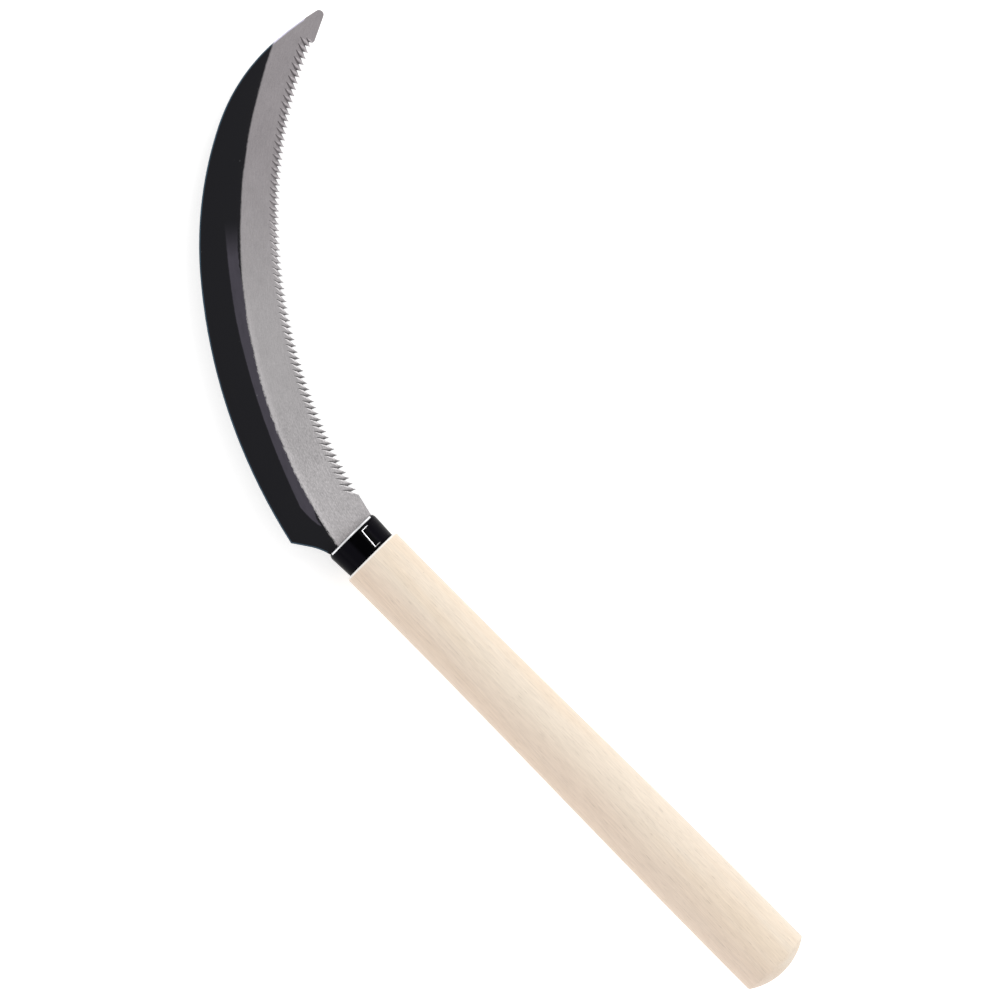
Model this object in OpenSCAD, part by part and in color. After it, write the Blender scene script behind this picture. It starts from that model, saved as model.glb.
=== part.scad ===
// Hand sickle with a saw-toothed crescent blade on a short wooden handle.
//
// The sickle lies flat. +X runs along the handle from the butt to the blade, +Z is
// normal to the blade on its ground side, and the hollow of the blade faces -Y.
// The origin is in the middle of the grip, on the handle's axis.

/* [Blade] */
// Thickness of the blade stock, in the tang and along the spine
blade_t = 1.6; // [1.4:0.1:2.0]
// Thickness left where the teeth start, at the heel
edge_t = 0.15; // [0.1:0.05:0.3]
// Width of the neck where it meets the ferrule
neck_w = 19.7; // [18:0.1:20]
// Width of the ground bevel at the heel
bevel_w = 15.5; // [14:0.5:17]
// Width of the hammered facet between the flat and the bevel
facet_w = 3; // [2:0.5:4]

/* [Teeth] */
// Number of teeth along the edge
tooth_count = 72; // [64:1:76]
// Depth of the teeth at both ends of the edge
tooth_end_depth = 1.75; // [1.5:0.05:1.9]
// Depth of the teeth at the middle of the edge
tooth_mid_depth = 1.35; // [1.2:0.05:1.6]
// Distance from the tooth tips to the inner end of a groove, at both ends
groove_end_reach = 4.4; // [4:0.1:5]
// Distance from the tooth tips to the inner end of a groove, at the middle
groove_mid_reach = 3.2; // [2.8:0.1:3.8]
// Angle of a groove's bottom line from square to the edge
groove_slant = 39; // [30:1:42]
// Undercut of a tooth's front at the heel
heel_hook = 5; // [0:1:10]
// Undercut of a tooth's front at the tip
tip_hook = -4; // [-8:1:4]

/* [Tang] */
// Width of the tang behind the shoulders
tang_w = 12.5; // [11:0.5:14]
// Width of the tang at its end
tang_end_w = 6; // [5:0.5:9]
// Length of the tang
tang_l = 64; // [50:1:80]

/* [Ferrule] */
// Length of the ferrule along the handle
ferrule_l = 10.2; // [9:0.1:12]
// Diameter of the ferrule at the mouth
ferrule_d = 21; // [20.6:0.1:21.4]
// Diameter of the ferrule where it meets the wood's shoulder
ferrule_back_d = 20.3; // [20:0.1:20.6]
// Thickness of the ferrule's sheet
sheet_t = 0.7; // [0.5:0.1:0.9]
// Height that the outer end of the rolled sheet stands proud
lap_t = 0.4; // [0.3:0.05:0.5]

/* [Handle] */
// Length of the bare wood, from the shoulder to the top of the butt's dome
handle_l = 202; // [180:1:220]
// Diameter of the handle at the shoulder
handle_front_d = 23.2; // [22.6:0.1:24]
// Diameter of the handle at the butt
handle_butt_d = 26; // [25:0.1:28]
// Height of the dome on the butt
dome_h = 3.6; // [3:0.1:4.5]

/* [Pin] */
// Diameter of the nail through the ferrule and the tang
pin_d = 2.4; // [2:0.1:3]
// Diameter of the nail's head
pin_head_d = 4.4; // [4:0.1:5]

/* [Hidden] */
$fn = 96;

mouth_x = handle_l / 2 + ferrule_l;
half_t = blade_t / 2;

// A pose is [x, y, heading]. An arc is [radius, sweep]: both positive turn to the
// right, both negative to the left. The outlines start at the ferrule's mouth.
neck_pose = [0, neck_w / 2, 15];
neck_arcs = [[-23, -20]];
spine_pose = [12.3, 16.7, -12.3];
spine_arcs = [[212, 8.9], [197, 19.3], [130, 22.8], [66.5, 31.1], [120, 8.2]];
tip_arc = [1.6, 140.3];
edge_pose = [9.84, -12.17, -14.05];
edge_arcs = [[191.2, 22.8], [164.3, 28.9]];
arc_step = 1.5;

// The bevel is a cone about this centre. Its upper rim is the line between the
// black flat and the ground steel.
bevel_centre = [-34.2, -182.4];
bevel_r = 191.5;
facet_slope = 0.035;
facet_drop = facet_w * facet_slope;
bevel_slope = (blade_t - facet_drop - edge_t) / bevel_w;
facet_start_x = 9;

edge_l = arc_length(edge_arcs);
pitch = edge_l / (tooth_count - 1);
edge_spare = 0.3;
last_gap = 1.45;
last_depth = 0.95;
last_reach = 2.3;
front_start = [2.5, 0.75];
groove_lap = 1.2;

tang_t = blade_t - 0.1;
tang_root = 0.4;
tang_gap = 0.2;
tang_end_gap = 1.5;

lip_r = 0.9;
lip_reach = 2;
lap_x = [-9.3, -1.8];
lap_edge_y = -3.6;

spigot_r = ferrule_back_d / 2 - sheet_t;
butt_ease = 0.8;
front_ease = 0.6;
front_straight_l = 24;
butt_straight_l = 14;

pin_x = -ferrule_l / 2;
pin_head_h = 0.9;
pin_point_h = 1.6;
pin_end_z = 6.5;

function xy(pose) = [pose[0], pose[1]];
function unit(v) = v / norm(v);
function arc_length(arcs, i = 0) =
    i == len(arcs) ? 0 : arcs[i][0] * arcs[i][1] * PI / 180 + arc_length(arcs, i + 1);

// The pose after following an arc from a pose
function follow(pose, r, sweep) =
    let (h = pose[2], g = h - sweep)
    [pose[0] + r * (sin(h) - sin(g)), pose[1] + r * (cos(g) - cos(h)), g];

// The pose at a distance along a chain of arcs
function walk(pose, arcs, s, i = 0) =
    let (r = arcs[i][0], l = r * arcs[i][1] * PI / 180)
    s <= l || i == len(arcs) - 1
        ? follow(pose, r, s / r * 180 / PI)
        : walk(follow(pose, r, arcs[i][1]), arcs, s - l, i + 1);

// Points along a chain of arcs, with the chain's end
function chain(pose, arcs, i = 0) =
    i == len(arcs)
        ? [xy(pose)]
        : let (n = ceil(abs(arcs[i][1]) / arc_step))
          concat(
              [for (j = [0 : n - 1]) xy(follow(pose, arcs[i][0], arcs[i][1] * j / n))],
              chain(follow(pose, arcs[i][0], arcs[i][1]), arcs, i + 1)
          );

// Points of an arc about a centre, from angle a to angle b
function arc(centre, r, a, b, n) =
    [for (i = [0 : n]) let (t = a + (b - a) * i / n) centre + r * [cos(t), sin(t)]];

// A point given by its distance along the tooth line and its distance outside it
function edge_point(s, out = 0) =
    let (p = walk(edge_pose, edge_arcs, s))
    [p[0] + out * sin(p[2]), p[1] - out * cos(p[2])];

// Half the tang's width at a distance behind the shoulders
function tang_half(x, gap = 0) = gap + (tang_w + (tang_end_w - tang_w) * x / tang_l) / 2;

// The handle's radius at a share of the swell between its two straight stretches
function handle_radius(f) =
    (handle_front_d + (handle_butt_d - handle_front_d) * (1 - cos(180 * f)) / 2) / 2;

// Height of the ground bevel at a point
function bevel_z(p) =
    half_t - facet_drop - bevel_slope * (bevel_r - norm(p - bevel_centre));

// Value at a tooth that is a at both ends of the edge and b at its middle
function ends_to_middle(i, a, b) =
    let (f = 2 * i / (tooth_count - 1) - 1)
    b + (a - b) * f * f;

// Value at a tooth that goes evenly from a at the heel to b at the tip
function heel_to_tip(i, a, b) = a + (b - a) * i / (tooth_count - 1);

module tang_outline(gap = 0, end_gap = 0) {
    far = tang_l + end_gap;
    polygon([
        [tang_root, -tang_half(0, gap)],
        [tang_root, tang_half(0, gap)],
        [-far, tang_half(far, gap)],
        [-far, -tang_half(far, gap)]
    ]);
}

module blade_outline() {
    polygon(concat(
        chain(neck_pose, neck_arcs),
        chain(spine_pose, concat(spine_arcs, [tip_arc])),
        [edge_point(edge_l + front_start[0], front_start[1])],
        [edge_point(edge_l + last_gap, edge_spare)],
        [for (i = [tooth_count * 2 - 2 : -1 : 0]) edge_point((i + 0.5) * pitch / 2, edge_spare)],
        [edge_point(-pitch / 2, edge_spare), edge_point(-pitch), [0, -neck_w / 2]]
    ));
}

// The ground bevel and the facet above it, both cones about the bevel's centre
module bevel_cut() {
    low = bevel_w + 12;
    rise = facet_drop / bevel_slope;
    intersection() {
        translate(bevel_centre)
            rotate_extrude($fn = 720)
                polygon([
                    [bevel_r + rise, half_t],
                    [bevel_r - low, half_t - facet_drop - low * bevel_slope],
                    [bevel_r - low, 2 * blade_t],
                    [bevel_r + rise, 2 * blade_t]
                ]);
        translate([0, -200, -5]) cube([200, 300, 10]);
    }
}

module facet_cut() {
    intersection() {
        translate(bevel_centre)
            rotate_extrude($fn = 720)
                polygon([
                    [bevel_r + facet_w, half_t],
                    [bevel_r - facet_w, half_t - 2 * facet_drop],
                    [bevel_r - facet_w, 2 * blade_t],
                    [bevel_r + facet_w, 2 * blade_t]
                ]);
        translate([facet_start_x, -200, -5]) cube([200, 300, 10]);
    }
}

// One saw groove at a distance along the edge. In its own frame x runs along the edge
// towards the handle and y out of it, with the tooth's tip at the origin and the tip
// before it one gap away. Two flanks meet in a bottom line that leaves the back at the
// tooth's root and rises inwards to the bevel, as far from the tips as the reach says.
module groove(s, gap, depth, reach, hook) {
    at = walk(edge_pose, edge_arcs, s);
    inward = reach - depth;
    turn = at[2] + 180;
    root = [-depth * tan(hook), -depth];
    inner = root - inward * [tan(groove_slant), 1];
    inner_at = xy(at) + [
        inner[0] * cos(turn) - inner[1] * sin(turn),
        inner[0] * sin(turn) + inner[1] * cos(turn)
    ];
    run = unit([-inward * tan(groove_slant), -inward, bevel_z(inner_at) + half_t]);
    side = unit(cross([0, 0, 1], run));
    up = cross(run, side);
    front = [-root[0], depth, 0];
    back = [gap - root[0], depth, 0];
    front_rise = (front * up) / (front * side);
    back_rise = (back * up) / (back * side);
    ridge_gap = gap * cos(groove_slant) / (back_rise - front_rise);
    front_reach = -groove_lap * ridge_gap * back_rise;
    back_reach = -groove_lap * ridge_gap * front_rise;
    translate([at[0], at[1], 0]) rotate(turn)
        multmatrix([
            [side[0], up[0], run[0], root[0]],
            [side[1], up[1], run[1], root[1]],
            [side[2], up[2], run[2], -half_t],
            [0, 0, 0, 1]
        ])
            translate([0, 0, -4]) linear_extrude(10)
                polygon([
                    [0, 0],
                    [back_reach, back_reach * back_rise],
                    [back_reach, 3],
                    [front_reach, 3],
                    [front_reach, front_reach * front_rise]
                ]);
}

// Every other groove of the full teeth, from a first one
module grooves(first) {
    for (i = [first : 2 : tooth_count - 1])
        groove(
            i * pitch,
            pitch,
            ends_to_middle(i, tooth_end_depth, tooth_mid_depth),
            ends_to_middle(i, groove_end_reach, groove_mid_reach),
            heel_to_tip(i, heel_hook, tip_hook)
        );
}

module ground_blade() {
    difference() {
        translate([0, 0, -half_t]) linear_extrude(blade_t) blade_outline();
        bevel_cut();
        facet_cut();
    }
}

// A groove overlaps the ones beside it, so every other groove is cut at a time. The
// last one, before the tip's ground front, is small and close to its neighbour.
module toothed_blade() {
    difference() {
        difference() {
            difference() {
                ground_blade();
                grooves(0);
            }
            grooves(1);
        }
        groove(edge_l + last_gap, last_gap, last_depth, last_reach, tip_hook);
    }
}

module tang(gap = 0, end_gap = 0) {
    translate([0, 0, -tang_t / 2]) linear_extrude(tang_t) tang_outline(gap, end_gap);
}

module blade() {
    color([0.55, 0.55, 0.56])
    translate([mouth_x, 0, 0])
    difference() {
        union() {
            toothed_blade();
            tang();
        }
        translate([pin_x, 0, -5]) cylinder(d = pin_d, h = 10);
    }
}

// A round solid about the X axis, from a profile of [radius, x] points
module turned(points) {
    rotate([0, 90, 0]) rotate_extrude() polygon(points);
}

function ferrule_profile(inset = 0) = concat(
    [[0, -ferrule_l], [ferrule_back_d / 2 - inset, -ferrule_l]],
    arc([ferrule_d / 2 - lip_r, -lip_r], lip_r - inset, 0, 90, 8),
    [[0, -inset]]
);

module ferrule() {
    color([0.07, 0.07, 0.08])
    translate([mouth_x, 0, 0])
    difference() {
        union() {
            turned(ferrule_profile());
            intersection() {
                translate([0, -lap_t / 2, lap_t]) turned(ferrule_profile());
                translate([lap_x[0], -20, -1]) cube([lap_x[1] - lap_x[0], 20 + lap_edge_y, 20]);
            }
        }
        translate([-0.01, 0, 0]) turned(ferrule_profile(sheet_t));
        turned([
            [0, -5], [ferrule_d / 2 - lip_reach, -5], [ferrule_d / 2 - lip_reach, 5], [0, 5]
        ]);
        translate([pin_x, 0, -20]) cylinder(d = pin_d, h = 20);
    }
}

module handle() {
    back = -ferrule_l - handle_l;
    corner_r = handle_butt_d / 2 - butt_ease;
    dome_r = (pow(corner_r, 2) + pow(dome_h, 2)) / (2 * dome_h);
    dome_x = back + dome_r;
    ease_x = dome_x - sqrt(pow(dome_r - butt_ease, 2) - pow(corner_r, 2));
    ease_angle = atan2(corner_r, dome_x - ease_x);
    swell_x = -ferrule_l - front_straight_l;
    swell_l = swell_x - ease_x - butt_straight_l;
    color([0.87, 0.78, 0.66])
    translate([mouth_x, 0, 0])
    difference() {
        turned(concat(
            arc([0, dome_x], dome_r, -90, -90 + ease_angle, 8),
            arc([corner_r, ease_x], butt_ease, -90 + ease_angle, 0, 4),
            [for (i = [16 : -1 : 0]) [handle_radius(i / 16), swell_x - swell_l * i / 16]],
            arc([handle_radius(0) - front_ease, -ferrule_l - front_ease], front_ease, 0, 90, 4),
            [[spigot_r, -ferrule_l], [spigot_r, -sheet_t - 0.5], [0, -sheet_t - 0.5]]
        ));
        tang(tang_gap, tang_end_gap);
        translate([pin_x, 0, -20]) cylinder(d = pin_d, h = 20 + pin_end_z);
    }
}

module tang_pin() {
    seat_z = -(ferrule_back_d + ferrule_d) / 4;
    color([0.5, 0.5, 0.52])
    translate([mouth_x + pin_x, 0, 0])
        rotate_extrude()
            polygon([
                [0, seat_z - pin_head_h],
                [pin_head_d / 4, seat_z - pin_head_h * 0.9],
                [pin_head_d / 2, seat_z - pin_head_h * 0.3],
                [pin_head_d / 2, seat_z],
                [pin_d / 2, seat_z],
                [pin_d / 2, pin_end_z - pin_point_h],
                [0, pin_end_z]
            ]);
}

blade();
ferrule();
handle();
tang_pin();
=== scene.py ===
import math

import bmesh
import bpy
import numpy as np
from mathutils import Matrix, Vector


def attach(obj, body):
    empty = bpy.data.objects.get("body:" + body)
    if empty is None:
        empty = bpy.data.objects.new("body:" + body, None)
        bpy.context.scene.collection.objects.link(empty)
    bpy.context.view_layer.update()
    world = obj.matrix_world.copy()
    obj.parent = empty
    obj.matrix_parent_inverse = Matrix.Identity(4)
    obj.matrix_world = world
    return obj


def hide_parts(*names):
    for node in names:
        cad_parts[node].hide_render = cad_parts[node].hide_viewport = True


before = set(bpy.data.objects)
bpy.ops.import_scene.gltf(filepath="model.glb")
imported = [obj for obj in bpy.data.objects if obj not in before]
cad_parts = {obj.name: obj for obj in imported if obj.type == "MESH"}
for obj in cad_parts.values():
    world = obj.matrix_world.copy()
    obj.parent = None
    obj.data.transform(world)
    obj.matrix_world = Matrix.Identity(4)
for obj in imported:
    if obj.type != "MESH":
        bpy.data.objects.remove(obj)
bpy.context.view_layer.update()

mm = 0.001
mouthX = 0.1112  # the ferrule's mouth on the handle's axis, from which the fittings are measured


def addNode(tree, kind, values=None, **settings):
    # one node; a value that is a socket is linked, anything else is set on the input
    made = tree.nodes.new(kind)
    for name, value in settings.items():
        setattr(made, name, value)
    for key, value in (values or {}).items():
        if isinstance(value, bpy.types.NodeSocket):
            tree.links.new(value, made.inputs[key])
        else:
            made.inputs[key].default_value = value
    return made


def calc(tree, operation, *values, clamp=False):
    # one sum, product or other operation on numbers and sockets
    made = addNode(tree, "ShaderNodeMath", dict(enumerate(values)), operation=operation)
    made.use_clamp = clamp
    return made.outputs[0]


def stepBetween(tree, value, low, high):
    # 0 below low, 1 above high, a smooth ramp between; low may be above high for a falling ramp
    made = addNode(tree, "ShaderNodeMapRange", {"Value": value, "From Min": low, "From Max": high},
                   interpolation_type="SMOOTHSTEP")
    return made.outputs["Result"]


def ramp(tree, value, low, high, toLow, toHigh):
    # a straight line from toLow at low to toHigh at high, held beyond both
    made = addNode(tree, "ShaderNodeMapRange", {"Value": value, "From Min": low, "From Max": high,
                                                "To Min": toLow, "To Max": toHigh})
    return made.outputs["Result"]


def noise(tree, vector, perMetre, detail=2.0, rough=0.5, offset=(0, 0, 0)):
    # a noise whose bumps are 1/perMetre long on each axis
    place = addNode(tree, "ShaderNodeMapping", {"Vector": vector, "Scale": perMetre, "Location": offset})
    made = addNode(tree, "ShaderNodeTexNoise", {"Vector": place.outputs[0], "Scale": 1.0,
                                                "Detail": detail, "Roughness": rough})
    return made.outputs["Fac"]


def mixColour(tree, share, first, second, blend="MIX"):
    # first at share 0, second at share 1
    made = addNode(tree, "ShaderNodeMix", {0: share, 6: first, 7: second},
                   data_type="RGBA", blend_type=blend)
    return made.outputs[2]


def mixNumber(tree, share, first, second):
    # first at share 0, second at share 1
    made = addNode(tree, "ShaderNodeMix", {0: share, 2: first, 3: second}, data_type="FLOAT")
    return made.outputs[0]


def greyOf(tree, value):
    # the same value in red, green and blue
    return addNode(tree, "ShaderNodeCombineColor", {0: value, 1: value, 2: value}).outputs[0]


def spots(tree, vector, perMetre, size, share):
    # small round spots in a few cells of a Voronoi pattern; share is the part of the cells left clean
    place = addNode(tree, "ShaderNodeMapping", {"Vector": vector, "Scale": perMetre})
    cell = addNode(tree, "ShaderNodeTexVoronoi", {"Vector": place.outputs[0], "Scale": 1.0})
    pick = addNode(tree, "ShaderNodeSeparateColor", {"Color": cell.outputs["Color"]}).outputs[0]
    return calc(tree, "MULTIPLY", stepBetween(tree, cell.outputs["Distance"], size, size * 0.45),
                stepBetween(tree, pick, share, share + 0.02))


def newMaterial(name):
    # a node material with its shader and the object's own coordinates
    made = bpy.data.materials.new(name)
    made.use_nodes = True
    tree = made.node_tree
    shader = tree.nodes["Principled BSDF"]
    where = addNode(tree, "ShaderNodeTexCoord").outputs["Object"]
    return made, tree, shader, where


def link(tree, source, shader, socket):
    # a varying value into one of the shader's sockets
    tree.links.new(source, shader.inputs[socket])


def addBump(tree, shader, height, depth, strength=1.0):
    # fine relief: height 1 stands depth metres above height 0
    made = addNode(tree, "ShaderNodeBump", {"Height": height, "Distance": depth, "Strength": strength})
    link(tree, made.outputs["Normal"], shader, "Normal")


def putMesh(name, points, faces, material, smoothAngle=35):
    # a mesh object at the origin; its faces are turned outwards by the sign of the volume they close
    points = np.asarray(points, float)
    fan = np.array([(face[0], face[i], face[i + 1]) for face in faces for i in range(1, len(face) - 1)])
    corners = points[fan]
    volume = np.einsum("ij,ij->i", corners[:, 0], np.cross(corners[:, 1], corners[:, 2])).sum()
    if volume < 0:
        faces = [face[::-1] for face in faces]
    mesh = bpy.data.meshes.new(name)
    mesh.from_pydata(points.tolist(), [], faces)
    mesh.polygons.foreach_set("use_smooth", np.ones(len(mesh.polygons), bool))
    mesh.set_sharp_from_angle(angle=math.radians(smoothAngle))
    mesh.materials.append(material)
    made = bpy.data.objects.new(name, mesh)
    bpy.context.scene.collection.objects.link(made)
    return made


def ringFaces(rows, columns, closeRows=False):
    # quads of a grid whose columns close into a ring, row after row
    r = np.arange(rows if closeRows else rows - 1)[:, None]
    c = np.arange(columns)[None, :]
    nextR, nextC = (r + 1) % rows, (c + 1) % columns
    quads = np.stack([r * columns + c, r * columns + nextC,
                      nextR * columns + nextC, nextR * columns + c], -1)
    return quads.reshape(-1, 4).tolist()


def turnedPoints(profile, turns):
    # each profile point (x, r) goes round the X axis: x, r sin(angle), r cos(angle)
    angle = np.linspace(0, 2 * np.pi, turns, endpoint=False)
    x = np.broadcast_to(profile[:, :1], (len(profile), turns))
    return np.stack([x, profile[:, 1:] * np.sin(angle), profile[:, 1:] * np.cos(angle)], -1)


def arcPoints(centre, radius, start, end, steps):
    # centre plus radius times (cos, sin) of steps angles from start to end, in degrees
    angle = np.radians(np.linspace(start, end, steps))
    return np.stack([centre[0] + radius * np.cos(angle), centre[1] + radius * np.sin(angle)], 1)


def setAttribute(piece, name, values):
    # one number per point of the mesh, for the material to read
    layer = piece.data.attributes.new(name, "FLOAT", "POINT")
    layer.data.foreach_set("value", np.asarray(values, np.float32))


def easeWindow(value, low, high, soft):
    # 1 between low and high, falling to 0 over soft on both sides
    rise = np.clip((value - low) / soft + 0.5, 0, 1)
    fall = np.clip((high - value) / soft + 0.5, 0, 1)
    return np.minimum(rise, fall)


wood = {
    "pale": (0.805, 0.700, 0.580, 1), "warm": (0.800, 0.672, 0.535, 1),
    "pink": (0.770, 0.608, 0.492, 1), "rim": (0.95, 0.92, 0.88, 1),
    "fibre": 0.13, "pore": 0.16, "speck": 0.38, "roughness": 0.56, "specular": 0.28, "bump": 0.00005,
    "grainSlope": 1.6, "pinkSideFrom": -0.004, "pinkSideTo": 0.009, "pinkSideShare": 0.62,
    "rimFrom": 0.9, "rimTo": 0.35,
}


def woodMaterial():
    # pale wood: long fibres along the handle, short dark pores between them, and a few dark specks
    made, tree, shader, where = newMaterial("bareWood")
    tilt = (0, math.radians(wood["grainSlope"] * 0.6), math.radians(wood["grainSlope"]))
    grainWay = addNode(tree, "ShaderNodeMapping", {"Vector": where, "Rotation": tilt}).outputs[0]
    broad = noise(tree, grainWay, (9, 130, 130), 2.0, 0.5)
    drift = noise(tree, grainWay, (14, 60, 60), 1.0, 0.5, (3, 7, 1))
    fibre = noise(tree, grainWay, (110, 2100, 2100), 3.0, 0.62)
    fine = noise(tree, grainWay, (260, 5200, 5200), 2.0, 0.6, (1, 2, 3))
    poreField = noise(tree, grainWay, (210, 3300, 3300), 1.0, 0.4, (5, 1, 8))
    # the handle turns pinker and a little darker towards its +Y side, a step across the handle's width
    side = addNode(tree, "ShaderNodeSeparateXYZ", {"Vector": where}).outputs[1]
    pinkSide = calc(tree, "ADD", stepBetween(tree, side, wood["pinkSideFrom"], wood["pinkSideTo"]),
                 calc(tree, "SUBTRACT", drift, 0.5))
    colour = mixColour(tree, stepBetween(tree, broad, 0.40, 0.68), wood["pale"], wood["warm"])
    pinkSide = calc(tree, "MULTIPLY", pinkSide, wood["pinkSideShare"], clamp=True)
    colour = mixColour(tree, pinkSide, colour, wood["pink"])
    streak = calc(tree, "ADD", calc(tree, "MULTIPLY", fibre, 0.68), calc(tree, "MULTIPLY", fine, 0.32))
    shade = ramp(tree, streak, 0.3, 0.7, 1 - wood["fibre"], 1 + wood["fibre"] * 0.5)
    pore = stepBetween(tree, poreField, 0.66, 0.74)
    speck = spots(tree, where, (95, 150, 150), 0.035, 0.80)
    for mark, depth in ((pore, wood["pore"]), (speck, wood["speck"])):
        left = calc(tree, "SUBTRACT", 1.0, calc(tree, "MULTIPLY", mark, depth))
        shade = calc(tree, "MULTIPLY", shade, left)
    colour = mixColour(tree, 1.0, colour, greyOf(tree, shade), "MULTIPLY")
    # the eased shoulder behind the ferrule is painted near white: a painted highlight along its edge
    station = addNode(tree, "ShaderNodeSeparateXYZ", {"Vector": where}).outputs[0]
    shoulder = mouthX + handle["ferruleBack"] * mm
    shoulderHighlight = stepBetween(tree, station, shoulder - wood["rimFrom"] * mm, shoulder - wood["rimTo"] * mm)
    link(tree, mixColour(tree, shoulderHighlight, colour, wood["rim"]), shader, "Base Color")
    rough = ramp(tree, fibre, 0.3, 0.7, wood["roughness"] + 0.08, wood["roughness"] - 0.06)
    link(tree, rough, shader, "Roughness")
    shader.inputs["Specular IOR Level"].default_value = wood["specular"]
    relief = calc(tree, "SUBTRACT", streak, calc(tree, "MULTIPLY", pore, 0.6))
    addBump(tree, shader, relief, wood["bump"])
    return made


handle = {
    "length": 202.0, "frontR": 11.6, "buttR": 13.0, "dome": 3.6, "ferruleBack": -10.2, "spigotR": 9.45,
    "frontStraight": 24.0, "buttStraight": 14.0, "frontEase": 1.1, "buttEase": 0.8,
    "spigotEnd": -1.2, "spigotEase": 0.2, "turns": 160,
}


def handleProfile():
    # distances from the mouth and radii in mm, from the dome's pole on the butt to the spigot's end:
    # a shallow dome, its rounded corner, a cosine swell between two straight stretches, the eased
    # shoulder, and the spigot
    back = handle["ferruleBack"] - handle["length"]
    cornerR = handle["buttR"] - handle["buttEase"]
    domeR = (cornerR ** 2 + handle["dome"] ** 2) / (2 * handle["dome"])
    domeX = back + domeR
    easeX = domeX - math.sqrt((domeR - handle["buttEase"]) ** 2 - cornerR ** 2)
    easeAngle = math.degrees(math.atan2(cornerR, domeX - easeX))
    dome = arcPoints((domeX, 0), domeR, 180, 180 - easeAngle, 26)
    corner = arcPoints((easeX, cornerR), handle["buttEase"], 180 - easeAngle, 90, 9)
    share = np.linspace(1, 0, 60)
    swellX = handle["ferruleBack"] - handle["frontStraight"]
    swellEnd = easeX + handle["buttStraight"]
    swollen = (handle["buttR"] - handle["frontR"]) * (1 - np.cos(np.pi * share)) / 2
    swell = np.stack([swellX + (swellEnd - swellX) * share, handle["frontR"] + swollen], 1)
    ease = handle["frontEase"]
    front = arcPoints((handle["ferruleBack"] - ease, handle["frontR"] - ease), ease, 90, 0, 8)
    small, end, radius = handle["spigotEase"], handle["spigotEnd"], handle["spigotR"]
    spigot = np.array([[handle["ferruleBack"], radius + small], [handle["ferruleBack"] + small, radius],
                       [end - small, radius], [end, radius - small]])
    return dome, corner, swell, front, spigot


def buildHandle(material):
    # the profile turned about X with a hand-turned waviness of a few hundredths of a millimetre
    parts = handleProfile()
    profile = np.concatenate(parts)[1:]
    ring = turnedPoints(profile, handle["turns"])
    angle = np.arctan2(ring[..., 1], ring[..., 2])
    wave = 0.012 * np.sin(ring[..., 0] * 0.42 + 2 * np.sin(angle))
    wave += 0.010 * np.sin(ring[..., 0] * 0.17 + 1.0)
    onGrip = easeWindow(ring[..., 0], -200.0, -20.0, 12.0)
    scale = 1 - np.abs(wave * onGrip) / np.maximum(profile[:, 1:], 1)
    ring[..., 1:] *= scale[..., None]
    rows, turns = ring.shape[:2]
    poles = [[parts[0][0, 0], 0, 0], [handle["spigotEnd"], 0, 0]]
    points = np.concatenate([ring.reshape(-1, 3), poles])
    first, last = rows * turns, rows * turns + 1
    here = np.arange(turns)
    faces = ringFaces(rows, turns)
    faces += np.stack([np.full(turns, first), (here + 1) % turns, here], 1).tolist()
    end = (rows - 1) * turns
    faces += np.stack([np.full(turns, last), end + here, end + (here + 1) % turns], 1).tolist()
    points[:, 0] += mouthX / mm
    return putMesh("handle_wood", points * mm, faces, material)


ferrule = {
    "length": 10.2, "mouthR": 10.32, "beadR": 10.5, "backR": 10.15, "sheet": 0.7, "lip": 1.0,
    "holeR": 8.5, "taperFrom": 2.2, "turns": 192,
    "paint": (0.0007, 0.0007, 0.0010, 1), "sheen": (0.0016, 0.0016, 0.0030, 1),
    "bare": (0.88, 0.88, 0.90, 1), "sideReflection": (0.0042, 0.0039, 0.0058, 1), "specular": 0.014,
}


def ferruleMaterial():
    # gloss black lacquer with both sides of the ring a little lighter as a painted reflection, and bare
    # bright metal, partly a painted highlight, where the attribute for bare metal, roughened by fine noise,
    # passes a half
    made, tree, shader, where = newMaterial("blackFerrule")
    # bare metal here is partly real and partly a painted highlight along the lip and the lap's edges
    bare = addNode(tree, "ShaderNodeAttribute", attribute_name="bareMetal").outputs["Fac"]
    wear = calc(tree, "SUBTRACT", noise(tree, where, (900, 900, 900), 3.0, 0.6), 0.5)
    bare = stepBetween(tree, calc(tree, "ADD", bare, calc(tree, "MULTIPLY", wear, 0.35)), 0.35, 0.65)
    smear = noise(tree, where, (260, 320, 320), 3.0, 0.6, (2, 5, 1))
    paint = mixColour(tree, stepBetween(tree, smear, 0.5, 0.75), ferrule["paint"], ferrule["sheen"])
    # both sides of the ring are painted a little lighter: a painted reflection on the black
    across = addNode(tree, "ShaderNodeSeparateXYZ", {"Vector": where}).outputs[1]
    paintedSideReflection = calc(tree, "ADD", stepBetween(tree, across, 0.0010, 0.0026),
                   stepBetween(tree, across, -0.0046, -0.0058))
    paint = mixColour(tree, paintedSideReflection, paint, ferrule["sideReflection"])
    link(tree, mixColour(tree, bare, paint, ferrule["bare"]), shader, "Base Color")
    link(tree, bare, shader, "Metallic")
    gloss = ramp(tree, smear, 0.3, 0.7, 0.10, 0.22)
    link(tree, mixNumber(tree, bare, gloss, 0.30), shader, "Roughness")
    shader.inputs["Specular IOR Level"].default_value = ferrule["specular"]
    addBump(tree, shader, noise(tree, where, (420, 420, 420), 2.0, 0.5), 0.00003, 0.6)
    return made


def ferruleRadius(x):
    # outer radius along the sheet: full just behind the lip, then a straight taper to the wood
    start = ferrule["taperFrom"]
    share = np.clip((-x - start) / (ferrule["length"] - start), 0, 1)
    return ferrule["beadR"] + (ferrule["backR"] - ferrule["beadR"]) * share


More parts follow.
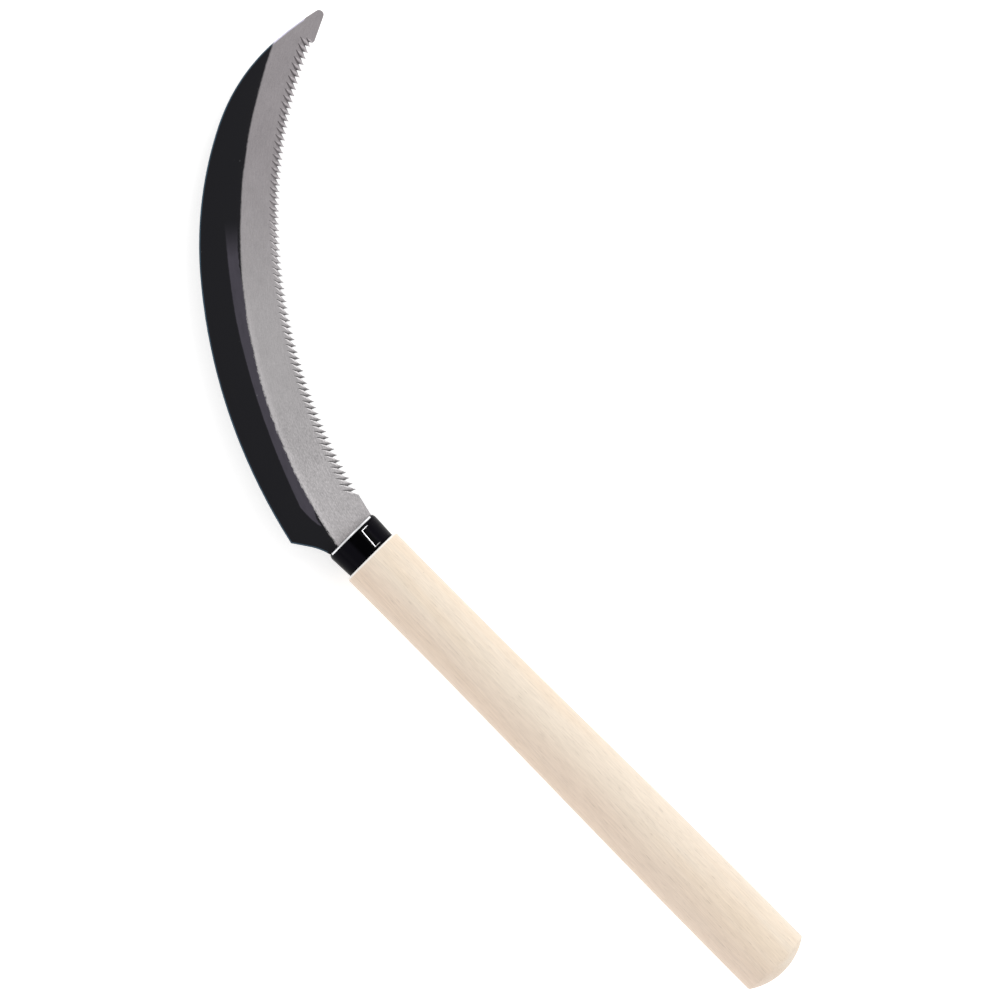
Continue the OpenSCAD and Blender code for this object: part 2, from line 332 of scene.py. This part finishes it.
def buildFerrule(material):
    # a closed section of rolled sheet, turned about X: outer wall, rounded lip, inner wall, back edge
    lip, sheet, length = ferrule["lip"], ferrule["sheet"], ferrule["length"]
    hole, backR = ferrule["holeR"], ferrule["backR"]
    outerX = np.linspace(-length + 0.15, -lip - 0.25, 30)
    outer = np.stack([outerX, ferruleRadius(outerX)], 1)
    crown = arcPoints((-lip, ferrule["mouthR"] - lip), lip, 84, 0, 30)
    mouth = np.array([[0.0, hole + 0.12], [-0.05, hole + 0.03], [-0.14, hole], [-sheet, hole]])
    bend = arcPoints((-lip - 0.1, ferrule["mouthR"] - lip - 0.1), lip - sheet + 0.15, 0, 90, 8)
    innerX = np.linspace(-lip - 0.6, -length + 0.1, 12)
    inner = np.stack([innerX, ferruleRadius(innerX) - sheet], 1)
    backEdge = np.array([[-length, backR - sheet + 0.1], [-length, backR - 0.12],
                         [-length + 0.04, backR - 0.03]])
    profile = np.concatenate([outer, crown, mouth, bend, inner, backEdge])
    ring = turnedPoints(profile, ferrule["turns"])
    points = ring.reshape(-1, 3).copy()
    # the lip's crown is bare bright metal over its width, except at both sides: partly rubbed metal, partly
    # a painted highlight
    bare = easeWindow(points[:, 0], -0.80, -0.06, 0.10)
    bare *= easeWindow(np.abs(points[:, 1]), -1, 9.25, 0.25)
    bare *= np.linalg.norm(points[:, 1:], axis=1) > ferrule["mouthR"] - lip
    points[:, 0] += mouthX / mm
    made = putMesh("ferrule_sheet", points * mm, ringFaces(len(profile), ferrule["turns"], True), material)
    setAttribute(made, "bareMetal", bare)
    return made


lap = {
    "front": -1.85, "back": -9.25, "startAngle": 20.6, "thickness": 0.36, "edge": 0.16,
    "along": 240, "fadeFrom": 34.0, "endAngle": 80.0, "brightFront": 3.0,
}


def buildLap(material):
    # the sheet's outer end lapped over the ring: a flat section with rounded edges carried round the
    # axis, its thickness fading into the ring by a cosine
    edge, thick = lap["edge"], lap["thickness"]
    top = np.linspace(0, 1, 40)
    frontEdge = arcPoints((lap["front"] - edge, thick - edge), edge, 0, 90, 8)
    backEdge = arcPoints((lap["back"] + edge, thick - edge), edge, 90, 180, 8)
    flatX = lap["front"] - edge + (lap["back"] - lap["front"] + 2 * edge) * top[1:-1]
    flat = np.stack([flatX, np.full(len(flatX), thick)], 1)
    under = np.array([[lap["back"], -0.15], [lap["front"], -0.15]])
    section = np.concatenate([frontEdge, flat, backEdge, under])
    way = np.concatenate([np.linspace(0, 0.012, 12, endpoint=False),
                          np.linspace(0.012, 1, lap["along"])])
    x = np.broadcast_to(section[:, 0], (len(way), len(section)))
    # the end is sheared a little out of square, with a shallow waviness
    skew = np.degrees(0.030 * (x - lap["front"]) / 10.3 * 2.0 + 0.0040 * np.sin(x * 2.3 + 0.8)
                      + 0.0020 * np.sin(x * 5.1))
    startAngle = lap["startAngle"] + skew
    angle = startAngle + (lap["endAngle"] - startAngle) * way[:, None]
    fromEnd = np.radians(angle - startAngle) * 10.4
    nose = np.sqrt(np.clip(1 - (1 - np.clip(fromEnd / edge, 0, 1)) ** 2, 0, 1))
    fading = np.clip((angle - lap["fadeFrom"]) / (lap["endAngle"] - lap["fadeFrom"]), 0, 1)
    fade = 0.5 + 0.5 * np.cos(np.pi * fading)
    rise = np.where(section[:, 1] > -0.1, section[:, 1] * fade - 0.02 * (1 - fade), section[:, 1])
    rise = np.where(section[:, 1] > thick - edge - 1e-6, rise - edge * (1 - nose), rise)
    radius = ferruleRadius(x) + rise
    radians = np.radians(angle)
    points = np.stack([x, -radius * np.sin(radians), radius * np.cos(radians)], -1)
    rows, columns = points.shape[:2]
    faces = ringFaces(rows, columns)
    faces += [list(range(columns)), list(range((rows - 1) * columns, rows * columns))[::-1]]
    flatPoints = points.reshape(-1, 3).copy()
    fromSide = fromEnd.reshape(-1)
    fromFront = (lap["front"] - x).reshape(-1)
    # the sheared end and the front and back edges are bare bright metal, partly real cut edges and partly a
    # painted highlight; the front and back only near the end, the back at half strength
    bareSide = easeWindow(fromSide, -1, 0.26, 0.10)
    bareFront = easeWindow(fromFront, -1, 0.24, 0.08) * easeWindow(fromSide, -1, lap["brightFront"], 0.4)
    fromBack = (x - lap["back"]).reshape(-1)
    bareBack = easeWindow(fromBack, -1, 0.20, 0.08) * easeWindow(fromSide, -1, lap["brightFront"], 1.0)
    flatPoints[:, 0] += mouthX / mm
    made = putMesh("ferrule_lap", flatPoints * mm, faces, material, 50)
    setAttribute(made, "bareMetal", np.maximum(np.maximum(bareSide, bareFront), 0.5 * bareBack))
    return made


nail = {
    "x": -5.1, "shankR": 1.2, "headR": 2.2, "headH": 0.9, "tip": 6.5, "point": 1.6, "turns": 48,
    "bright": (0.42, 0.42, 0.43, 1), "dull": (0.20, 0.19, 0.19, 1),
}


def nailMaterial():
    # plain drawn steel, with dull patches of patina in soft noise
    made, tree, shader, where = newMaterial("nailSteel")
    patina = noise(tree, where, (900, 900, 900), 4.0, 0.6)
    fineGrain = noise(tree, where, (6000, 6000, 6000), 2.0, 0.5)
    colour = mixColour(tree, stepBetween(tree, patina, 0.42, 0.62), nail["bright"], nail["dull"])
    link(tree, colour, shader, "Base Color")
    link(tree, ramp(tree, patina, 0.3, 0.7, 0.28, 0.52), shader, "Roughness")
    shader.inputs["Metallic"].default_value = 1.0
    addBump(tree, shader, fineGrain, 0.00002)
    return made


def buildNail(material):
    # a drawn wire nail turned about its own axis, head down: z and radius, with a rounded, slightly
    # domed head and a tapered point
    seat = -(ferruleRadius(np.array([nail["x"]]))[0]) - 0.01
    low = seat - nail["headH"]
    head, shank = nail["headR"], nail["shankR"]
    share = np.linspace(0, 1, 8)[1:]
    quarter = np.linspace(0, np.pi / 2, 8)[1:]
    dome = np.stack([low + 0.12 * share ** 2, head * 0.82 * share], 1)
    rim = np.stack([low + 0.12 + 0.36 * (1 - np.cos(quarter)), head * (0.82 + 0.18 * np.sin(quarter))], 1)
    top = np.array([[seat - 0.08, head], [seat + 0.10, head - 0.15], [seat + 0.1, shank],
                    [nail["tip"] - nail["point"], shank], [nail["tip"] - 0.02, 0.05]])
    profile = np.concatenate([dome, rim, top])
    angle = np.linspace(0, 2 * np.pi, nail["turns"], endpoint=False)
    middle = mouthX / mm + nail["x"]
    ring = np.stack([middle + profile[:, 1:] * np.cos(angle), profile[:, 1:] * np.sin(angle),
                     np.broadcast_to(profile[:, :1], (len(profile), nail["turns"]))], -1)
    rows, turns = ring.shape[:2]
    points = np.concatenate([ring.reshape(-1, 3), [[middle, 0, low], [middle, 0, nail["tip"]]]])
    here = np.arange(turns)
    end = (rows - 1) * turns
    faces = ringFaces(rows, turns)
    faces += np.stack([np.full(turns, rows * turns), (here + 1) % turns, here], 1).tolist()
    faces += np.stack([np.full(turns, rows * turns + 1), end + here, end + (here + 1) % turns], 1).tolist()
    return putMesh("nail", points * mm, faces, material)


blade = {
    "bevelCentre": (-34.2, -182.4), "bevelR": 191.5, "bevelSlope": 0.0855,
    "crestCentre": (-72.8, -261.5), "crestR": 282.2, "backStrip": 11.0,
    "coat": (0.0080, 0.0080, 0.0102, 1), "facet": (0.054, 0.049, 0.063, 1), "dust": (0.20, 0.20, 0.20, 1),
    "steelHeel": (0.418, 0.402, 0.407, 1), "steelTip": (0.325, 0.302, 0.312, 1),
    "rimCoatHighlight": (0.052, 0.092, 0.130, 1), "rimSteelHighlight": (0.66, 0.64, 0.78, 1),
    "coatSpecular": 0.11, "steelRoughness": 0.42,
    "spineRound": 0.58, "roundSteps": 5, "neckEnd": 0.9, "neckLength": 20, "spineWidth": 9,
    "coneMatch": 0.9994, "flatLimit": 0.9997,
}


bevelMiddle = np.array([mouthX / mm + blade["bevelCentre"][0], blade["bevelCentre"][1]]) * mm


def fromCentre(tree, where, centre):
    # the offset in mm of a point from a centre in the blade's plane, and its length
    place = ((mouthX / mm + centre[0]) * mm, centre[1] * mm, 0)
    shift = addNode(tree, "ShaderNodeVectorMath", {0: where, 1: place}, operation="SUBTRACT").outputs[0]
    flat = addNode(tree, "ShaderNodeVectorMath", {0: shift, 1: (1000, 1000, 0)},
                   operation="MULTIPLY").outputs[0]
    length = addNode(tree, "ShaderNodeVectorMath", {0: flat}, operation="LENGTH").outputs["Value"]
    return flat, length


def bladeMaterial():
    # ground steel along the edge, a thin black coat on the flat, and between them a facet of bevel whose
    # grey is a painted reflection.
    # degrees is the angle about the bevel's centre, about 78 at the heel and 22 at the tip.
    made, tree, shader, where = newMaterial("sickleSteel")
    flat, radius = fromCentre(tree, where, blade["bevelCentre"])
    crest = fromCentre(tree, where, blade["crestCentre"])[1]
    parts = addNode(tree, "ShaderNodeSeparateXYZ", {"Vector": flat})
    angle = calc(tree, "ARCTAN2", parts.outputs[1], parts.outputs[0])
    degrees = calc(tree, "MULTIPLY", angle, 180 / math.pi)
    swept = addNode(tree, "ShaderNodeCombineXYZ", {0: calc(tree, "MULTIPLY", angle, blade["bevelR"] * mm),
                                                   1: calc(tree, "MULTIPLY", radius, mm)}).outputs[0]
    heelShare = stepBetween(tree, degrees, 42, 62)
    # the ragged line where the grinding stops, roughest near the heel
    ragged = calc(tree, "SUBTRACT", noise(tree, swept, (620, 1500, 1), 5.0, 0.72), 0.5)
    slow = calc(tree, "SUBTRACT", noise(tree, swept, (90, 60, 1), 2.0, 0.5, (4, 2, 0)), 0.5)
    limit = calc(tree, "MULTIPLY", ragged, mixNumber(tree, heelShare, 0.7, 2.2))
    limit = calc(tree, "ADD", blade["bevelR"], limit)
    limit = calc(tree, "ADD", limit, calc(tree, "MULTIPLY", slow, 0.5))
    # on the flat back only a narrow strip along the teeth is stoned bright
    side = addNode(tree, "ShaderNodeSeparateXYZ", {"Vector": where}).outputs[2]
    back = stepBetween(tree, side, -0.00076, -0.00079)
    limit = calc(tree, "SUBTRACT", limit, calc(tree, "MULTIPLY", back, blade["backStrip"]))
    ground = stepBetween(tree, calc(tree, "SUBTRACT", limit, radius), -0.38, 0.42)
    # the facet's painted reflection: a lighter band outside the grinding, round at its heel end and fading
    # out towards the tip
    outside = calc(tree, "SUBTRACT", radius, blade["bevelR"])
    fromHeel = calc(tree, "MULTIPLY", calc(tree, "SUBTRACT", 77.2, degrees), 0.5)
    heelEnd = calc(tree, "SQRT", calc(tree, "MAXIMUM", fromHeel, 0.0))
    heelRoom = calc(tree, "SUBTRACT", calc(tree, "MULTIPLY", heelEnd, 3.3), outside)
    crestRoom = calc(tree, "SUBTRACT", calc(tree, "SUBTRACT", blade["crestR"], crest),
                     ramp(tree, degrees, 54, 46, -0.3, 0.6))
    room = calc(tree, "MINIMUM", heelRoom, crestRoom)
    room = calc(tree, "ADD", room, calc(tree, "MULTIPLY", ragged, 0.5))
    # at both of its ends a dark strip of coat is left between the facet and the steel
    darkStrip = calc(tree, "ADD", stepBetween(tree, degrees, 52, 47),
                     stepBetween(tree, degrees, 74.8, 76.2))
    strip = calc(tree, "ADD", darkStrip, calc(tree, "MULTIPLY", ragged, 1.6))
    facetIn = calc(tree, "MULTIPLY", stepBetween(tree, room, -0.10, 0.32),
                   stepBetween(tree, calc(tree, "SUBTRACT", outside, strip), -0.25, 0.20))
    facetNoise = ramp(tree, noise(tree, swept, (160, 500, 1), 3.0, 0.6, (1, 9, 0)), 0.3, 0.7, 0.84, 1.14)
    facet = calc(tree, "MULTIPLY", facetIn, stepBetween(tree, degrees, 43.8, 48.8))
    facet = calc(tree, "MULTIPLY", facet, facetNoise)
    # steel: speckle drawn out along the blade, coarse at the heel and fine at the tip
    coarse = noise(tree, swept, (900, 2300, 1), 3.0, 0.7)
    grain = noise(tree, swept, (1900, 4200, 1), 2.0, 0.6, (6, 1, 0))
    streak = noise(tree, swept, (240, 2600, 1), 2.0, 0.6, (7, 3, 0))
    cloud = noise(tree, swept, (70, 110, 1), 3.0, 0.6, (2, 8, 0))
    light = 1.0
    rough = stepBetween(tree, degrees, 60, 71)
    speckle = ((coarse, 0.34, 1.45), (grain, 0.40, 0.40), (streak, 0.26, 0.40), (cloud, 0.20, 0.36))
    for field, onBlade, atHeel in speckle:
        amount = mixNumber(tree, rough, onBlade, atHeel)
        light = calc(tree, "ADD", light, calc(tree, "MULTIPLY", calc(tree, "SUBTRACT", field, 0.5), amount))
    # a little brighter along the line where the grinding stops, and towards the ferrule
    nearLine = calc(tree, "MULTIPLY", stepBetween(tree, outside, -2.6, -0.4),
                    stepBetween(tree, degrees, 48, 60))
    light = calc(tree, "ADD", light, calc(tree, "MULTIPLY", nearLine, 0.20))
    light = calc(tree, "ADD", light, calc(tree, "MULTIPLY", stepBetween(tree, degrees, 67, 73), 0.13))
    steel = mixColour(tree, stepBetween(tree, degrees, 34, 60), blade["steelTip"], blade["steelHeel"])
    steel = mixColour(tree, 1.0, steel, greyOf(tree, light), "MULTIPLY")
    # painted light and shade on the teeth: a groove's flank towards the handle gets painted shade at its
    # bottom and a painted highlight at its ridge, and the narrow flank opposite is painted brighter at the
    # heel than along the blade
    facing = addNode(tree, "ShaderNodeNewGeometry").outputs["True Normal"]
    towards = addNode(tree, "ShaderNodeVectorMath", {0: facing, 1: (-0.7, 0.7, 0)},
                      operation="DOT_PRODUCT")
    up = addNode(tree, "ShaderNodeSeparateXYZ", {"Vector": facing}).outputs[2]
    bottom = addNode(tree, "ShaderNodeAttribute", attribute_name="grooveBottom").outputs["Fac"]
    sloping = stepBetween(tree, up, 0.06, 0.12)
    handleFlank = calc(tree, "MULTIPLY", stepBetween(tree, towards.outputs["Value"], 0.08, 0.20), sloping)
    tipFlank = calc(tree, "MULTIPLY", stepBetween(tree, towards.outputs["Value"], -0.08, -0.20), sloping)
    low = stepBetween(tree, bottom, 0.20, 0.88)
    ridgePaintedHighlight = mixNumber(tree, heelShare, 1.75, 0.80)
    bottomPaintedShade = mixNumber(tree, heelShare, 0.42, 0.12)
    flankPaintedLight = mixNumber(tree, low, ridgePaintedHighlight, bottomPaintedShade)
    flankPaintedLight = mixNumber(tree, handleFlank, 1.0, flankPaintedLight)
    flankPaintedLight = mixNumber(tree, tipFlank, flankPaintedLight, mixNumber(tree, heelShare, 0.62, 0.88))
    steel = mixColour(tree, 1.0, steel, greyOf(tree, flankPaintedLight), "MULTIPLY")
    # coat: dust and small nicks that show bright
    nick = spots(tree, swept, (260, 330, 1), 0.11, 0.90)
    # the facet's grey is a painted reflection laid on the coat
    coat = mixColour(tree, facet, blade["coat"], blade["facet"])
    coat = mixColour(tree, calc(tree, "MULTIPLY", nick, 0.35), coat, blade["dust"])
    # light flecks where the coat is torn along the grinding, and a painted highlight along the round of the
    # spine
    fleck = noise(tree, swept, (1300, 2600, 1), 3.0, 0.7, (3, 3, 0))
    torn = calc(tree, "MULTIPLY", stepBetween(tree, fleck, 0.56, 0.66),
                stepBetween(tree, outside, 1.5, 0.3))
    coat = mixColour(tree, calc(tree, "MULTIPLY", torn, 0.10), coat, blade["dust"])
    # a painted highlight along the spine's round, bluish on the coat and lavender on the steel, broken up
    # by noise
    rim = addNode(tree, "ShaderNodeAttribute", attribute_name="spineRimHighlight").outputs["Fac"]
    rimHighlightBreakup = ramp(tree, noise(tree, swept, (130, 1, 1), 3.0, 0.6, (8, 0, 0)), 0.3, 0.7, 0.55, 1.0)
    rim = calc(tree, "MULTIPLY", rim, rimHighlightBreakup)
    coat = mixColour(tree, rim, coat, blade["rimCoatHighlight"])
    steel = mixColour(tree, rim, steel, blade["rimSteelHighlight"])
    link(tree, mixColour(tree, ground, coat, steel), shader, "Base Color")
    link(tree, ground, shader, "Metallic")
    coatRough = ramp(tree, cloud, 0.3, 0.7, 0.40, 0.52)
    steelRough = ramp(tree, streak, 0.3, 0.7, blade["steelRoughness"] - 0.06,
                      blade["steelRoughness"] + 0.06)
    link(tree, mixNumber(tree, ground, coatRough, steelRough), shader, "Roughness")
    shader.inputs["Specular IOR Level"].default_value = blade["coatSpecular"]
    addBump(tree, shader, calc(tree, "ADD", coarse, streak), 0.00002, 0.7)
    return made


def readArray(items, name, width=1, kind=float):
    # one property of all the mesh's items, as rows of width numbers
    values = np.empty(len(items) * width, kind)
    items.foreach_get(name, values)
    return values.reshape(-1, width) if width > 1 else values


def readMesh(mesh):
    # arrays of a closed mesh: points, the points and the two faces of each edge, the faces' normals and
    # middles, the point and the face of each corner, and which faces are the spine's wall: those
    # upright and looking away from the bevel's centre
    points = readArray(mesh.vertices, "co", 3)
    edges = readArray(mesh.edges, "vertices", 2, np.int32)
    normals = readArray(mesh.polygons, "normal", 3)
    middles = readArray(mesh.polygons, "center", 3)
    cornerPoint = readArray(mesh.loops, "vertex_index", 1, np.int32)
    cornerFace = np.repeat(np.arange(len(normals)), readArray(mesh.polygons, "loop_total", 1, np.int32))
    byEdge = np.argsort(readArray(mesh.loops, "edge_index", 1, np.int32), kind="stable")
    sides = cornerFace[byEdge].reshape(-1, 2)
    away = middles[:, :2] - bevelMiddle
    away /= np.linalg.norm(away, axis=1)[:, None]
    wall = (np.abs(normals[:, 2]) < 0.1) & ((normals[:, :2] * away).sum(1) > 0.35)
    return points, edges, sides, normals, middles, cornerPoint, cornerFace, wall


def spineEdges(mesh):
    # the upper edge of the spine's wall, from just past the ferrule to the tip: a wall face on one side
    # and a face that looks up on the other, far from the bevel's centre, and above the neck's corner
    points, edges, sides, normals, middles, cornerPoint, cornerFace, wall = readMesh(mesh)
    lowest = points[edges, 2].min(1)
    nearest = points[edges, 0].min(1)
    outward = np.linalg.norm(points[edges, :2] - bevelMiddle, axis=2).min(1)
    onTop = lowest > np.where(nearest < mouthX + blade["neckLength"] * mm, 0.79, 0.1) * mm
    pastNeck = nearest > mouthX + blade["neckEnd"] * mm
    atSpine = outward > (blade["bevelR"] - blade["spineWidth"]) * mm
    looksUp = (normals[sides, 2] > 0.9).any(1)
    return np.flatnonzero(onTop & pastNeck & atSpine & looksUp & wall[sides].any(1))


def grooveEdges(sides, normals, middles, isRound):
    # true on the hollow edges between two sloping faces, which are the bottoms of the grooves
    first, second = sides[:, 0], sides[:, 1]
    sloping = (normals[:, 2] > 0.05) & (normals[:, 2] < 0.985) & ~isRound
    hollow = (normals[first] * (middles[second] - middles[first])).sum(1) > 0
    bent = (normals[first] * normals[second]).sum(1) < math.cos(0.15)
    return sloping[first] & sloping[second] & hollow & bent


def coneNormals(mesh, points, normals, cornerPoint, cornerFace):
    # the ground bevel is a shallow cone about its centre: a corner on it gets the cone's own normal,
    # straight up with a lean of bevelSlope towards the centre, and every other corner keeps its normal
    kept = readArray(mesh.corner_normals, "vector", 3)
    lean = points[cornerPoint, :2] - bevelMiddle
    lean /= np.linalg.norm(lean, axis=1)[:, None]
    cone = np.concatenate([-blade["bevelSlope"] * lean, np.ones((len(lean), 1))], 1)
    cone /= np.linalg.norm(cone, axis=1)[:, None]
    faced = normals[cornerFace]
    onCone = ((faced * cone).sum(1) > blade["coneMatch"]) & (faced[:, 2] < blade["flatLimit"])
    return np.where(onCone[:, None], cone, kept)


def buildBlade(material):
    # a copy of the CAD blade, its loose triangles joined and the spine's edge rounded; the round and
    # the spine's wall are smooth and the rest stays flat. Attributes for the material: 1 along the
    # bottoms of the grooves, and 1 on the middle of the spine's round.
    mesh = bpy.data.meshes.new("blade_steel")
    work = bmesh.new()
    work.from_mesh(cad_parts["blade"].data)
    bmesh.ops.remove_doubles(work, verts=work.verts[:], dist=2e-7)
    bmesh.ops.dissolve_degenerate(work, edges=work.edges[:], dist=1e-7)
    work.to_mesh(mesh)
    work.edges.ensure_lookup_table()
    bmesh.ops.bevel(work, geom=[work.edges[index] for index in spineEdges(mesh)],
                    offset=blade["spineRound"] * mm, offset_type="OFFSET", segments=blade["roundSteps"],
                    profile=0.5, affect="EDGES", clamp_overlap=False, loop_slide=False, material=1)
    work.to_mesh(mesh)
    work.free()
    if "custom_normal" in mesh.attributes:
        mesh.attributes.remove(mesh.attributes["custom_normal"])
    points, edges, sides, normals, middles, cornerPoint, cornerFace, wall = readMesh(mesh)
    isRound = readArray(mesh.polygons, "material_index", 1, np.int32) == 1
    mesh.polygons.foreach_set("material_index", np.zeros(len(isRound), np.int32))
    mesh.polygons.foreach_set("use_smooth", isRound | wall)
    mesh.set_sharp_from_angle(angle=math.radians(35))
    shading = coneNormals(mesh, points, normals, cornerPoint, cornerFace)
    mesh.normals_split_custom_set(shading.tolist())
    mesh.materials.append(material)
    made = bpy.data.objects.new("blade_steel", mesh)
    bpy.context.scene.collection.objects.link(made)
    around = np.bincount(cornerPoint, minlength=len(points))
    onRound = np.bincount(cornerPoint, isRound[cornerFace], len(points))
    bottoms = np.zeros(len(points))
    bottoms[edges[grooveEdges(sides, normals, middles, isRound)]] = 1
    setAttribute(made, "spineRimHighlight", onRound == around)
    setAttribute(made, "grooveBottom", bottoms)
    return made


bladeSteel = bladeMaterial()
bladePiece = buildBlade(bladeSteel)
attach(bladePiece, "root")
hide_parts("blade")
print("blade ground and its spine rounded,", len(bladePiece.data.polygons), "faces")

handlePiece = buildHandle(woodMaterial())
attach(handlePiece, "root")
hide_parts("handle")
print("handle turned,", len(handlePiece.data.polygons), "faces")

ferruleBlack = ferruleMaterial()
ferrulePiece = buildFerrule(ferruleBlack)
lapPiece = buildLap(ferruleBlack)
for piece in (ferrulePiece, lapPiece):
    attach(piece, "root")
    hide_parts("ferrule")
ferruleFaces = len(ferrulePiece.data.polygons) + len(lapPiece.data.polygons)
print("ferrule rolled,", ferruleFaces, "faces")

nailPiece = buildNail(nailMaterial())
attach(nailPiece, "root")
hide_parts("tang_pin")
print("nail driven")


studio = {
    "floorZ": -0.0132, "floorSize": 6.0, "floorGlow": 0.42, "floorColour": (0.90, 0.90, 0.90, 1),
    "world": 0.76,
    "keyWatts": 12.6, "keySize": 1.3, "keyAt": (0.10, -1.35, 1.25),
    "rimWatts": 1.0, "rimSize": (0.35, 0.9), "rimAt": (1.30, -0.10, 0.42),
    "fillWatts": 3.2, "fillSize": (1.6, 0.5), "fillAt": (0.05, 1.50, 0.55),
}


def buildFloor():
    # one square of matt white just under the sickle, glowing a little so that shadows stay soft
    half = studio["floorSize"] / 2
    z = studio["floorZ"]
    mesh = bpy.data.meshes.new("floor")
    corners = [(-half, -half, z), (half, -half, z), (half, half, z), (-half, half, z)]
    mesh.from_pydata(corners, [], [(0, 1, 2, 3)])
    made = bpy.data.objects.new("floor", mesh)
    material, tree, shader, where = newMaterial("paleFloor")
    shader.inputs["Base Color"].default_value = studio["floorColour"]
    shader.inputs["Roughness"].default_value = 0.9
    shader.inputs["Specular IOR Level"].default_value = 0.1
    shader.inputs["Emission Color"].default_value = (1, 1, 1, 1)
    shader.inputs["Emission Strength"].default_value = studio["floorGlow"]
    mesh.materials.append(material)
    bpy.context.scene.collection.objects.link(made)
    return made


def addLamp(name, place, target, watts, size):
    # a soft lamp turned to its target: a rectangle where size is a pair, otherwise a disk
    lamp = bpy.data.lights.new(name, "AREA")
    lamp.energy = watts
    if isinstance(size, tuple):
        lamp.shape = "RECTANGLE"
        lamp.size, lamp.size_y = size
    else:
        lamp.shape = "DISK"
        lamp.size = size
    made = bpy.data.objects.new(name, lamp)
    made.location = place
    made.rotation_euler = (Vector(target) - Vector(place)).to_track_quat("-Z", "Y").to_euler()
    bpy.context.scene.collection.objects.link(made)
    return made


buildFloor()
addLamp("keySoftbox", studio["keyAt"], (0.08, -0.03, 0), studio["keyWatts"], studio["keySize"])
addLamp("rimSoftbox", studio["rimAt"], (0.10, 0, 0), studio["rimWatts"], studio["rimSize"])
addLamp("fillSoftbox", studio["fillAt"], (0.05, 0, 0), studio["fillWatts"], studio["fillSize"])
world = bpy.data.worlds.new("studio")
world.use_nodes = True
world.node_tree.nodes["Background"].inputs["Color"].default_value = (1, 1, 1, 1)
world.node_tree.nodes["Background"].inputs["Strength"].default_value = studio["world"]
bpy.context.scene.world = world
bpy.context.scene.view_settings.view_transform = "Standard"
print("studio lit")

# the camera looks straight down with a long lens
view = {
    "at": (0.0833, -0.0450, 1.917), "right": (-0.7045, -0.7097, 0), "up": (0.7097, -0.7045, 0),
    "lens": 200, "sensor": 36,
}
camera = bpy.data.cameras.new("camera")
camera.lens = view["lens"]
camera.sensor_width = view["sensor"]
cameraObject = bpy.data.objects.new("camera", camera)
bpy.context.scene.collection.objects.link(cameraObject)
right = Vector(view["right"]).normalized()
up = Vector(view["up"]).normalized()
turn = Matrix((right, up, right.cross(up))).transposed().to_4x4()
turn.translation = view["at"]
cameraObject.matrix_world = turn
bpy.context.scene.camera = cameraObject
